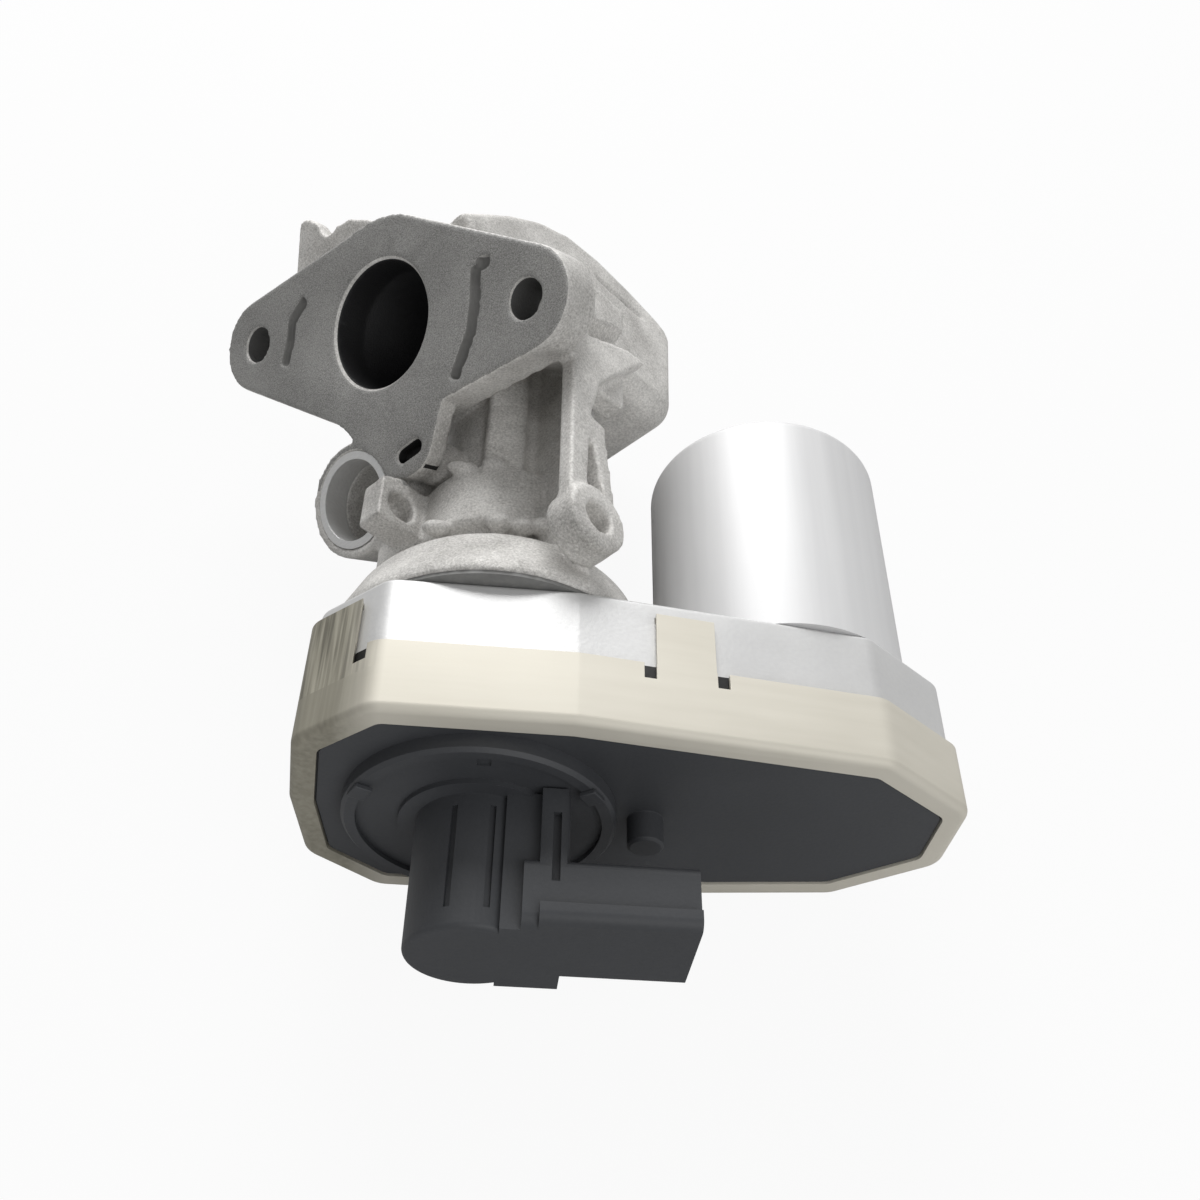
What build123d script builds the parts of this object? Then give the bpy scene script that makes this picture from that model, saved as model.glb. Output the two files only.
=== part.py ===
from build123d import *

import os
from math import acos, cos, degrees, pi, radians, sin, sqrt, tan

# Exhaust gas recirculation valve, millimetres.
# It is drawn upright: z runs up the valve stem, x from the stem to the motor, and z = 0 is the steel lip.
# lay_down puts it on its back, with the gas port's centre at the origin, when the files are written.

# Driving sizes: gears, which also set the axes of the intermediate gear and the motor
OUTPUT_TEETH = 48
SMALL_TEETH = 12
OUTPUT_MODULE = 1.0
LARGE_TEETH = 56
MOTOR_TEETH = 12
MOTOR_MODULE = 0.8
PRESSURE = 20.0
BACKLASH = 0.22
IDLER_PIN_R = 2.0
IDLER_X = OUTPUT_MODULE * (OUTPUT_TEETH + SMALL_TEETH) / 2
MOTOR_X = IDLER_X + MOTOR_MODULE * (LARGE_TEETH + MOTOR_TEETH) / 2

# Driving sizes: gear housing
COVER_HALF_WIDTH = 26.1    # of the opening in the steel frame
COVER_LEFT_TIP = 29.6      # stem to the rounded end on the left
COVER_LEFT_FLAT = 16.7     # half length of that end
COVER_LEFT_SHOULDER = 17.6
COVER_RIGHT_SHOULDER = 14.7
MOTOR_SHOULDER = 11.0      # past the motor axis
MOTOR_HALF_WIDTH = 19.3
MOTOR_TIP = 26.2           # past the motor axis
MOTOR_FLAT = 7.4
SHEET = 1.2                # steel frame thickness
LIP_WIDTH = 4.5            # opening edge to outer fold
BAND_HEIGHT = 14.2
FRAME_CLEARANCE = 0.15
HOUSING_WALL = 2.6
DECK_TOP = 29.2
DECK_THICKNESS = 3.2
COVER_THICKNESS = 3.0
GASKET_THICKNESS = 0.8

# Driving sizes: valve body
DUCT_TURN = 41.3           # direction of the gas duct, seen along the stem
DUCT_TILT = 26.9           # slope of the gas port's axis
FLANGE_ROLL = 26.2         # the bolt line's tilt in the flange's own plane
PORT_REACH = 39.2          # stem axis to the port's centre, level
PORT_HEIGHT = 102.7
PORT_R = 13.9
FLANGE_THICKNESS = 9.0
FLANGE_CENTRE_R = 23.6
BOLT_SPAN = 82.4
EAR_R = 10.9
BOLT_HOLE_R = 4.25
BOLT_HOLE_DEPTH = 36.0      # clears the casting behind the ear
LOBE = (10.0, -25.8)
LOBE_R = 8.1
LOBE_THICKNESS = 5.0
EDGE_R = 0.6                # soft edges of the casting
SHOULDER_ROOT = (17.0, 5.0, -42.0)   # in the port's plane, with the depth behind it
FINGER_THICKNESS = 4.0
FINGER_OUTLINE = (          # in the port's plane
    (-38.6, 6.0), (-39.0, 29.8), (-37.8, 31.4), (-35.2, 31.2), (-32.6, 29.8), (-30.2, 27.0), (-28.2, 25.8),
    (-25.4, 28.0), (-21.4, 29.0), (-14.3, 27.6), (-6.0, 23.4), (-6.0, 6.0))
ROOF_LINE = (               # seen from the right: the block's back, its roof and the slope to the flange
    (24.0, 113.0), (28.8, 118.0), (29.4, 138.4), (27.6, 141.2), (24.0, 142.6), (13.8, 144.4), (2.0, 145.4),
    (-8.3, 144.2), (-18.1, 139.3), (-26.0, 133.0), (-32.5, 126.5), (-38.8, 120.0), (-30.0, 104.0),
    (-20.0, 112.0), (-17.0, 111.0))
HOOD_LEFT = -22.0           # left end of the slope
BELL_R = 32.6
BELL_TOP_R = 27.0
BELL_HEIGHT = 13.5
NECK_R = 14.0
COLLAR_R = 17.4
BLOCK_HALF_WIDTH = 25.0
BLOCK_BACK = 32.0
BLOCK_FRONT = 20.0
BLOCK_BOTTOM = 111.0
BLOCK_TOP = 143.6
BLOCK_CORNER = 7.0
BLOCK_BOTTOM_EDGE = 5.6
BLOCK_TOP_EDGE = 5.0
CAST_WALL = 3.2
SEAM_GROOVE = (10.0, 137.3)
SEAM_GROOVE_SIZE = (1.8, 17.0, 1.5)
WALL_POCKET = (-0.5, 1.7)
WALL_POCKET_SIZE = (7.0, 8.0, 5.2)

# Driving sizes: valve train
STEM_R = 3.0
STEM_FOOT_R = 3.5
SEAT_BORE_R = 10.0
SEAT_R = 13.2
SEAT_HEIGHT = 4.5
SEAT_BOTTOM = 119.5
VALVE_GAP = 0.15
LIFT = 6.0
OPEN_ANGLE = 120.0
RUNNING = 0.03             # radial clearance of a shaft in its bush
DRUM_R = 12.5
DRUM_BORE_R = 9.5
ROLLER_R = 2.6
PIN_R = 1.5
ROLLER_PLAY = 0.25
PIN_HEIGHT = 31.0          # cross pin, valve closed
SPRING_WIRE = 1.6
SPRING_R = 8.0
SPRING_TURNS = 5.5

# Driving sizes: motor
CAN_R = 24.6
CAN_TOP = 85.1
CAN_WALL = 1.6
SHAFT_R = 2.5
CORE_R = 15.0

# Driving sizes: position sensor and plug socket
RING_R = 24.6
RING_FACE = -2.9
BARREL_R = 11.25
BARREL_END = -27.8
PLUG_FRONT = -13.7
PLUG_BACK = 6.5
PLUG_TOP = -15.6
PLUG_END = 37.3
PEG_R = 3.35
PEG_HEIGHT = 5.4

FIT = 0.1                  # location clearance of parts that are held still
Z_AXIS = Axis.Z


# Shared helpers

def disc(radius, low, high, x=0.0, y=0.0):
    """Upright cylinder between two heights."""
    return Pos(x, y, low) * Cylinder(radius, high - low, align=(Align.CENTER, Align.CENTER, Align.MIN))


def ring(outer, inner, low, high, x=0.0, y=0.0):
    return disc(outer, low, high, x, y) - disc(inner, low - 1, high + 1, x, y)


def block(x, y, z):
    """Box given by its lowest and highest values on each axis."""
    return Pos(x[0], y[0], z[0]) * Box(x[1] - x[0], y[1] - y[0], z[1] - z[0], align=(Align.MIN,) * 3)


def upright(sketch, low, high):
    return Pos(0, 0, low) * extrude(sketch, amount=high - low, dir=(0, 0, 1))


def opening_outline(grow=0.0, corner=3.0):
    """The oval of the steel frame's opening, grown outwards."""
    half = [
        (-COVER_LEFT_TIP, 0.0),
        (-COVER_LEFT_TIP + 1.5, COVER_LEFT_FLAT),
        (-COVER_LEFT_SHOULDER, COVER_HALF_WIDTH),
        (COVER_RIGHT_SHOULDER, COVER_HALF_WIDTH),
        (MOTOR_X + MOTOR_SHOULDER, MOTOR_HALF_WIDTH),
        (MOTOR_X + MOTOR_TIP, MOTOR_FLAT),
    ]
    points = half + [(x, -y) for x, y in reversed(half[1:])]
    outline = Polygon(*points, align=None)
    if grow:
        outline = offset(outline, grow, kind=Kind.INTERSECTION)
    return fillet(outline.vertices(), corner)


def screw(length, shank_r, head_r, head_h):
    """Socket screw, head up at z = 0, shank down."""
    shape = disc(shank_r, -length, 0) + disc(head_r, 0, head_h)
    return shape - upright(RegularPolygon(head_r * 0.55, 6), head_h * 0.4, head_h + 1)


# Directions of the casting: it is drawn with x along the flange's level direction and y along the duct
CAST_TURN = DUCT_TURN - 90.0
TILT = radians(DUCT_TILT)
ROLL = radians(FLANGE_ROLL)
PORT_NORMAL = Vector(0, -cos(TILT), -sin(TILT))
BOLT_LINE = Vector(cos(ROLL), sin(TILT) * sin(ROLL), -cos(TILT) * sin(ROLL))
PORT_CENTRE = Vector(0, -PORT_REACH, PORT_HEIGHT)
PORT_PLANE = Plane(origin=PORT_CENTRE, x_dir=BOLT_LINE, z_dir=PORT_NORMAL)

BELL_BOTTOM = DECK_TOP + GASKET_THICKNESS
BELL_TOP = BELL_BOTTOM + BELL_HEIGHT
CAVITY_TOP = 66.0
BUSH_BOTTOM = CAVITY_TOP + 4.0
BUSH_TOP = 98.0
NECK_TOP = BLOCK_BOTTOM + 4.0
COLLAR = (56.0, 72.0)
COLUMN_X = (-4.8, 3.8)
COLUMN_Y = (-17.0, -9.0)
CHAMBER_BOTTOM = 100.5
CHAMBER_R = 12.6
UPPER_R = 18.0
SEAT_TOP = SEAT_BOTTOM + SEAT_HEIGHT
ROOF = BLOCK_TOP - 4.0
PLUG_HOLE_R = 14.0
SPRING_BORE_R = 11.0
SEAL_R = 7.0
BUSH_R = 6.0
STEM_HOLE_R = 3.6
REAR_PORT = (30.0, 11.0)
REAR_PORT_Z = 130.5
REAR_BOLT_X = 20.0
REAR_BOLT_R = 2.5
REAR_BOLT_DEPTH = 10.0
CAGE_R = 16.0
CAGE_FLANGE_R = 18.5
CAGE_FLANGE = 2.0
CAGE_TOP = 41.5
FOOT_SCREW_RING_R = 23.0
FOOT_SCREW_ANGLES = (60.0, 180.0, 300.0)
FOOT_THREAD_R = 2.1
FOOT_THREAD_DEPTH = 8.0

# Side port beside the neck
SIDE_PORT = (-21.0, -24.5, 74.5)
SIDE_PORT_R = 8.9
SIDE_RING_R = 10.6
SIDE_BOSS_R = 12.6
SIDE_DEPTH = 14.0
SIDE_RING_DEPTH = 6.0
SIDE_PLANE = Plane(origin=SIDE_PORT, x_dir=(1, 0, 0), z_dir=PORT_NORMAL)

# Lug with its hole, and the strut with its eye
LUG_GAP = 0.5               # between the lug and what slides into the side port
LUG_X = (SIDE_PORT[0] + SIDE_PORT_R + LUG_GAP, -5.2)
LUG_Y = (-28.2, -10.0)
LUG_Z = (58.0, 70.6)
LUG_BEVEL = (3.4, 1.9)      # its upper front edge clears the flange's face
LUG_HOLE = (-22.6, 63.6)
LUG_HOLE_R = 3.4
LUG_HOLE_DEPTH = 5.0
STRUT_X = (34.4, 38.0)
STRUT_TOP = (-17.8, 87.0)
EYE = (-11.0, 40.6)
EYE_R = 7.0
EYE_HOLE_R = 3.25
EYE_THICKNESS = 7.0
EYE_PROUD = 1.2             # of the strut's outer face
EYE_FOOT_Z = (-4.3, 3.1)    # from the eye's middle
WEB_END = 27.0
WEB_Y = (-4.0, 0.0)
SIDE_ARM = ((-23.0, 0.0), (-14.0, 4.0))
SIDE_FOOT = ((-20.0, -6.0), (-18.0, 0.0))
SIDE_ARM_TOP = 84.0
SIDE_FOOT_TOP = 68.0


def flange_plate():
    """Two-bolt oval with the thinner lobe of the small slot; the bolt holes are cut later."""
    ears = [Pos(side * BOLT_SPAN / 2, 0) * Circle(EAR_R) for side in (-1, 1)]
    oval = make_hull(Sketch(children=ears).edges() + Circle(FLANGE_CENTRE_R).edges())
    lobe = make_hull((Pos(*LOBE) * Circle(LOBE_R)).edges() + Circle(FLANGE_CENTRE_R).edges())
    plate = extrude(PORT_PLANE * oval, -FLANGE_THICKNESS)
    plate = fillet(plate.faces().sort_by(Axis(PORT_CENTRE, PORT_NORMAL))[-1].edges(), EDGE_R)
    return plate + extrude(PORT_PLANE * lobe, -LOBE_THICKNESS)


def ear_shoulder():
    """Round arm that carries the right ear back to the upper block."""
    ear = PORT_PLANE * Pos(BOLT_SPAN / 2, 0, 1 - FLANGE_THICKNESS) * Circle(EAR_R - 0.5)
    root = PORT_PLANE * Pos(*SHOULDER_ROOT) * Circle(EAR_R - 1.5)
    return loft([ear, root])


def finger_tab():
    """Upright casting tab with two humps behind the left ear."""
    outline = Polygon(*FINGER_OUTLINE, align=None)
    return extrude(PORT_PLANE * Pos(0, 0, 1 - FLANGE_THICKNESS) * outline, FINGER_THICKNESS, dir=-PORT_NORMAL)


def flange_recesses():
    """Casting grooves beside the port, as wide lines in the flange's plane."""
    left = Polyline((-25.0, 8.6), (-29.2, 4.2), (-29.4, -0.4), (-30.8, -6.0))
    right = Polyline((27.4, 8.6), (27.7, 1.3), (27.2, -4.8), (24.7, -10.6), (23.2, -14.2))
    corner = Polyline((27.4, 8.6), (31.0, 9.2))
    return trace(left, 2.8) + trace(right, 2.8) + trace(corner, 2.8)


def duct_shell(grow):
    """Gas duct from the flange to the chamber under the seat."""
    mouth = Plane(origin=PORT_CENTRE - PORT_NORMAL * FLANGE_THICKNESS * 0.9, x_dir=(1, 0, 0), z_dir=PORT_NORMAL)
    throat = Plane(origin=(0, -5.0, 110.0), x_dir=(1, 0, 0), z_dir=(0, -1, 0))
    return loft([throat * Circle(8.6 + grow), mouth * Circle(PORT_R + grow)])


def upper_block():
    """Body of the upper chambers, with a hood that slopes down to the flange's back."""
    outline = Pos(0, (BLOCK_BACK - BLOCK_FRONT) / 2) * RectangleRounded(
        2 * BLOCK_HALF_WIDTH, BLOCK_BACK + BLOCK_FRONT, BLOCK_CORNER)
    shape = upright(outline, BLOCK_BOTTOM, BLOCK_TOP)
    shape = fillet(shape.faces().sort_by(Z_AXIS)[0].edges(), BLOCK_BOTTOM_EDGE)
    shape = fillet(shape.faces().sort_by(Z_AXIS)[-1].edges(), BLOCK_TOP_EDGE)
    hood = Plane(origin=(HOOD_LEFT, 0, 0), x_dir=(0, 1, 0), z_dir=(1, 0, 0)) * Polygon(*ROOF_LINE, align=None)
    hood = extrude(hood, BLOCK_HALF_WIDTH - HOOD_LEFT, dir=(1, 0, 0))
    return shape + fillet(hood.faces().sort_by(Axis.X)[-1].edges(), 2.0)


def strut():
    """Plate from the flange's ear down to the eye, with a rear rib."""
    y_top, z_top = STRUT_TOP
    y_eye, z_eye = EYE
    front = Polygon(
        (y_top, z_top + 8), (y_eye - EYE_R + 0.6, z_eye), (y_eye - EYE_R + 5.0, z_eye + 4),
        (y_top + 5.4, z_top - 20), (y_top + 8.0, z_top - 8), (y_top + 22.0, z_top + 10), align=None)
    rear = Polygon(
        (y_top + 5.0, z_top - 20), (y_eye + EYE_R - 3.4, z_eye + 2), (y_eye + EYE_R - 0.6, z_eye + 1),
        (y_top + 9.0, z_top - 20), align=None)
    side = Plane(origin=(STRUT_X[0], 0, 0), x_dir=(0, 1, 0), z_dir=(1, 0, 0))
    plates = extrude(side * (front + rear), STRUT_X[1] - STRUT_X[0])
    web = block((NECK_R - 4, WEB_END), WEB_Y, (BELL_TOP - 3.2, BLOCK_BOTTOM + 2))
    sill = block((STRUT_X[0] - 4, STRUT_X[0] + 1), (y_top + 4, 0.0), (z_top - 6, BLOCK_BOTTOM + 2))
    return plates + web + sill


def eye_boss():
    place = Plane(origin=(STRUT_X[1] + EYE_PROUD, *EYE), x_dir=(0, 1, 0), z_dir=(1, 0, 0))
    boss = extrude(place * Circle(EYE_R), -EYE_THICKNESS)
    boss = fillet(boss.faces().sort_by(Axis.X)[-1].edges(), EDGE_R)
    y_eye, z_eye = EYE
    foot = block((BELL_TOP_R - 4, STRUT_X[0] + 1), (y_eye + 2, y_eye + EYE_R - 1),
                 (z_eye + EYE_FOOT_Z[0], z_eye + EYE_FOOT_Z[1]))
    return boss + foot


def valve_body():
    # Bell, neck and collar are turned about the stem
    bell = revolve(Plane.XZ * Polygon(
        (0, BELL_BOTTOM), (BELL_R, BELL_BOTTOM), (BELL_R, BELL_BOTTOM + 2.2), (BELL_TOP_R + 1.6, BELL_TOP - 2.0),
        (BELL_TOP_R, BELL_TOP), (NECK_R, BELL_TOP + 3), (0, BELL_TOP + 3), align=None), Z_AXIS)
    neck = disc(NECK_R, BELL_TOP - 1, NECK_TOP)
    collar = disc(COLLAR_R, *COLLAR)
    collar = chamfer(collar.edges().filter_by(GeomType.CIRCLE), 1.2)
    foot_blend = Pos(0, 0, BELL_TOP - 0.5) * Cone(
        COLLAR_R + 4, NECK_R, COLLAR[0] - BELL_TOP, align=(Align.CENTER, Align.CENTER, Align.MIN))
    column = fillet(block(COLUMN_X, COLUMN_Y, (COLLAR[0] + 2, PORT_HEIGHT)).edges().filter_by(Z_AXIS), 1.2)
    front = Rot(0, 0, -CAST_TURN) * column

    duct = duct_shell(CAST_WALL + 1.0)
    side_boss = extrude(SIDE_PLANE * Circle(SIDE_BOSS_R), -SIDE_DEPTH - CAST_WALL)
    side_arm = fillet(block(*SIDE_ARM, (BELL_TOP + 4, SIDE_ARM_TOP)).edges().filter_by(Z_AXIS), 3.0)
    side_foot = fillet(block(*SIDE_FOOT, (BELL_TOP - 3, SIDE_FOOT_TOP)).edges().filter_by(Z_AXIS), 3.0)
    lug_side = Polygon(
        (LUG_Y[0], LUG_Z[0]), (LUG_Y[1], LUG_Z[0]), (LUG_Y[1], LUG_Z[1]), (LUG_Y[0] + LUG_BEVEL[0], LUG_Z[1]),
        (LUG_Y[0], LUG_Z[1] - LUG_BEVEL[1]), align=None)
    lug_plane = Plane(origin=(LUG_X[0], 0, 0), x_dir=(0, 1, 0), z_dir=(1, 0, 0))
    lug = extrude(lug_plane * lug_side, LUG_X[1] - LUG_X[0])

    solid = bell + neck
    for piece in (collar, foot_blend, front, duct, upper_block(), flange_plate(), ear_shoulder(),
                  finger_tab(), side_boss, side_arm, side_foot, lug, strut(), eye_boss()):
        solid += piece

    # Cavity for the drum, its cage and the spring, then the bores of seal and bush
    solid -= disc(CAGE_FLANGE_R + FIT, BELL_BOTTOM - 1, DECK_TOP + CAGE_FLANGE)
    solid -= disc(CAGE_R + FIT, BELL_BOTTOM, CAGE_TOP + 1)
    solid -= disc(SPRING_BORE_R, BELL_BOTTOM, CAVITY_TOP)
    solid -= disc(SEAL_R, CAVITY_TOP - 1, BUSH_BOTTOM)
    solid -= disc(BUSH_R, BUSH_BOTTOM - 1, BUSH_TOP)
    solid -= disc(STEM_HOLE_R, BUSH_TOP - 1, CHAMBER_BOTTOM + 1)

    # Gas passages: port, lower chamber, seat, upper chamber, rear port and the plugged top
    solid -= extrude(PORT_PLANE * Circle(PORT_R), -FLANGE_THICKNESS)
    solid -= duct_shell(0)
    solid -= disc(CHAMBER_R, CHAMBER_BOTTOM, SEAT_BOTTOM + 1)
    solid -= disc(SEAT_R, SEAT_BOTTOM, SEAT_TOP + 1)
    solid -= disc(UPPER_R, SEAT_TOP, ROOF)
    solid -= disc(PLUG_HOLE_R, ROOF - 1, BLOCK_TOP + 1)
    rear_place = Plane(origin=(0, BLOCK_BACK, REAR_PORT_Z), x_dir=(1, 0, 0), z_dir=(0, 1, 0))
    solid -= extrude(rear_place * SlotOverall(*REAR_PORT), -BLOCK_BACK)
    for side in (-1, 1):
        solid -= extrude(rear_place * Pos(side * REAR_BOLT_X, 0) * Circle(REAR_BOLT_R), -REAR_BOLT_DEPTH)

    # Bolt holes, slot and grooves of the flange
    for side in (-1, 1):
        solid -= extrude(PORT_PLANE * Pos(side * BOLT_SPAN / 2, 0) * Circle(BOLT_HOLE_R), -BOLT_HOLE_DEPTH)
    slot = PORT_PLANE * Pos(LOBE[0] + 1.5, LOBE[1] - 2.4) * Rot(0, 0, FLANGE_ROLL) * SlotOverall(7.6, 3.2)
    solid -= extrude(slot, -7.0)
    solid -= extrude(PORT_PLANE * flange_recesses(), -1.8)

    # Seam groove and pocket in the block's right wall
    solid -= Pos(BLOCK_HALF_WIDTH, *SEAM_GROOVE) * Box(*SEAM_GROOVE_SIZE)
    solid -= Pos(BLOCK_HALF_WIDTH, WALL_POCKET[0], BLOCK_BOTTOM + WALL_POCKET[1]) * Box(*WALL_POCKET_SIZE)

    # Side port, lug and eye holes, foot threads
    solid -= extrude(SIDE_PLANE * Circle(SIDE_RING_R), -SIDE_RING_DEPTH)
    solid -= extrude(SIDE_PLANE * Circle(SIDE_PORT_R), -SIDE_DEPTH)
    lug_place = Plane(origin=(LUG_X[1], *LUG_HOLE), x_dir=(0, 1, 0), z_dir=(1, 0, 0))
    solid -= extrude(lug_place * Circle(LUG_HOLE_R), -LUG_HOLE_DEPTH)
    eye_place = Plane(origin=(STRUT_X[1] + 2, *EYE), x_dir=(0, 1, 0), z_dir=(1, 0, 0))
    solid -= extrude(eye_place * Circle(EYE_HOLE_R), -EYE_THICKNESS - 4)
    for place in foot_places(-CAST_TURN):
        solid -= place * disc(FOOT_THREAD_R, BELL_BOTTOM - 1, BELL_BOTTOM + FOOT_THREAD_DEPTH)
    return Rot(0, 0, CAST_TURN) * solid


def foot_places(turn=0.0):
    """Where the three screws of the bell's foot stand."""
    return [Rot(0, 0, turn + angle) * Pos(FOOT_SCREW_RING_R, 0, 0) for angle in FOOT_SCREW_ANGLES]


def side_port_ring():
    """Machined sleeve in the side port's mouth."""
    shape = extrude(SIDE_PLANE * Circle(SIDE_RING_R), -SIDE_RING_DEPTH)
    return Rot(0, 0, CAST_TURN) * (shape - extrude(SIDE_PLANE * Circle(SIDE_PORT_R), -SIDE_RING_DEPTH))


def top_plug():
    """Pressed cup that closes the hole through which the valve goes in."""
    cup = disc(PLUG_HOLE_R, ROOF + 0.4, BLOCK_TOP - 0.2)
    return cup - disc(PLUG_HOLE_R - 1.4, ROOF + 1.8, BLOCK_TOP)


# Valve, stem and what guides them
POPPET_R = SEAT_BORE_R + 1.4
POPPET_BOTTOM = SEAT_TOP - 1.4 + VALVE_GAP
RETAINER = (43.5, 45.0)
STEM_TOP = POPPET_BOTTOM + 6.0
CORE_END = -20.0
STEM_FOOT = 4.0


def valve_seat():
    shape = ring(SEAT_R, SEAT_BORE_R, SEAT_BOTTOM, SEAT_TOP)
    bevel = Pos(0, 0, SEAT_TOP - 1.4) * Cone(
        SEAT_BORE_R, SEAT_BORE_R + 1.4, 1.4, align=(Align.CENTER, Align.CENTER, Align.MIN))
    return shape - bevel


def valve_poppet():
    low = POPPET_BOTTOM
    profile = Polygon(
        (0, low - 5.0), (STEM_R + 1.0, low - 5.0), (STEM_R + 2.2, low - 2.0), (SEAT_BORE_R - 0.4, low - 0.2),
        (SEAT_BORE_R, low), (POPPET_R, low + 1.4), (POPPET_R, low + 3.0), (STEM_R + 2, low + 3.6),
        (0, low + 3.6), align=None)
    return revolve(Plane.XZ * profile, Z_AXIS) - disc(STEM_R, low - 6, low + 5)


def valve_stem():
    shape = disc(STEM_R, RETAINER[0] - 1, STEM_TOP - 0.9) + disc(STEM_R + 0.8, POPPET_BOTTOM + 3.6, STEM_TOP - 0.9)
    shape += disc(STEM_FOOT_R, STEM_FOOT, RETAINER[0])
    cross = Pos(0, 0, PIN_HEIGHT) * Rot(0, 90, 0) * Cylinder(PIN_R, 4 * STEM_FOOT_R)
    return shape - cross


def stem_bush():
    return ring(BUSH_R, STEM_R + RUNNING, BUSH_BOTTOM, BUSH_TOP)


def stem_seal():
    body = ring(SEAL_R, STEM_R + 0.9, CAVITY_TOP, BUSH_BOTTOM)
    lip = ring(STEM_R + 2.0, STEM_R + RUNNING, CAVITY_TOP + 1.2, CAVITY_TOP + 2.2)
    return body + lip


def spring_retainer():
    low, high = RETAINER
    cup = ring(SPRING_R + 1.8, STEM_R, low, high)
    return cup + ring(SPRING_R - SPRING_WIRE, STEM_R, high, high + 2.0)


def return_spring():
    low = RETAINER[1] + SPRING_WIRE / 2 + 0.1
    height = CAVITY_TOP - 0.1 - SPRING_WIRE / 2 - low
    path = Pos(0, 0, low) * Helix(height / SPRING_TURNS, height, SPRING_R)
    section = Plane(origin=path @ 0, z_dir=path % 0) * Circle(SPRING_WIRE / 2)
    return sweep(section, path=path, is_frenet=True)


# Helical cam: drum slots lift the cross pin, the cage keeps it from turning
GEAR_LOW = 11.0
GEAR_HIGH = 17.0
DRUM_TOP = CAGE_TOP - 0.4
BEARING = (20.0, 27.2)
BEARING_R = 15.0
CAM_STEPS = 20


def cam_slot(start):
    """Cutter for one helical slot; the slot climbs as the drum's angle falls."""
    half = ROLLER_R + ROLLER_PLAY
    rise = LIFT / CAM_STEPS
    turn = OPEN_ANGLE / CAM_STEPS
    run = DRUM_R * radians(turn)
    slope = degrees(acos(run / sqrt(run ** 2 + rise ** 2)))
    cutter = None
    for step in range(CAM_STEPS):
        middle = start - turn * (step + 0.5)
        place = Rot(0, 0, middle) * Pos(DRUM_R - 2, 0, PIN_HEIGHT + rise * (step + 0.5)) * Rot(-slope, 0, 0)
        bar = place * Box(8.0, run * 1.25, 2 * half)
        cutter = bar if cutter is None else cutter + bar
    for angle, height in ((start, PIN_HEIGHT), (start - OPEN_ANGLE, PIN_HEIGHT + LIFT)):
        cutter += Rot(0, 0, angle) * Pos(DRUM_R - 2, 0, height) * Rot(0, 90, 0) * Cylinder(half, 8.0)
    return cutter


def involute_gear(module, teeth, thin):
    """Flat-sided involute outline; the flanks are thinned for backlash."""
    pitch = module * teeth / 2
    base = pitch * cos(radians(PRESSURE))
    tip = pitch + 0.85 * module
    root = pitch - 1.15 * module
    half_tooth = pi / (2 * teeth) - thin / (2 * pitch)
    inv_pitch = tan(radians(PRESSURE)) - radians(PRESSURE)
    start = max(base, root)
    flank = []
    for step in range(4):
        radius = start + (tip - start) * step / 3
        pressure = acos(min(1.0, base / radius))
        flank.append((radius, half_tooth + inv_pitch - (tan(pressure) - pressure)))
    if root < base:
        flank.insert(0, (root, flank[0][1]))
    points = []
    for tooth in range(teeth):
        middle = 2 * pi * tooth / teeth
        side = [(radius, middle - angle) for radius, angle in flank]
        side += [(radius, middle + angle) for radius, angle in reversed(flank)]
        points += [(radius * cos(angle), radius * sin(angle)) for radius, angle in side]
    return Polygon(*points, align=None)


def output_gear():
    gear = upright(involute_gear(OUTPUT_MODULE, OUTPUT_TEETH, BACKLASH), GEAR_LOW, GEAR_HIGH)
    gear -= ring(OUTPUT_MODULE * OUTPUT_TEETH / 2 - 3.5, DRUM_R + 1.5, GEAR_LOW - 1, GEAR_LOW + 1.5)
    drum = ring(DRUM_R, DRUM_BORE_R, GEAR_HIGH - 1, DRUM_TOP)
    shape = gear - disc(STEM_FOOT_R + 0.6, GEAR_LOW - 1, GEAR_HIGH + 1) + drum
    for start in (0.0, 180.0):
        shape -= cam_slot(start)
    return shape


def output_bearing():
    return ring(BEARING_R, DRUM_R + RUNNING, *BEARING)


def guide_cage():
    shape = ring(CAGE_R, DRUM_R + 0.6, BEARING[1] + 0.2, CAGE_TOP)
    shape += ring(CAGE_FLANGE_R, CAGE_R - 0.5, DECK_TOP, DECK_TOP + CAGE_FLANGE)
    half = ROLLER_R + ROLLER_PLAY / 2
    return shape - block((-CAGE_R - 1, CAGE_R + 1), (-half, half), (PIN_HEIGHT - ROLLER_R - 0.3, CAGE_TOP + 1))


def cross_pin():
    return Pos(0, 0, PIN_HEIGHT) * Rot(0, 90, 0) * Cylinder(PIN_R, 2 * (CAGE_R - 0.3))


def cam_rollers():
    """Two rollers a side: one runs in the drum's slot, one in the cage's."""
    rollers = []
    for low, high in ((DRUM_BORE_R + 0.2, DRUM_R - 0.1), (DRUM_R + 0.75, CAGE_R - 0.4)):
        for side in (-1, 1):
            place = Pos(side * (low + high) / 2, 0, PIN_HEIGHT) * Rot(0, 90, 0)
            width = high - low
            rollers.append(place * (Cylinder(ROLLER_R, width) - Cylinder(PIN_R + RUNNING, width + 1)))
    return Compound(children=rollers)


# Intermediate gear on its fixed pin
LARGE_LOW = 5.8
LARGE_HIGH = 9.8
IDLER_TOP = 18.0


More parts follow.
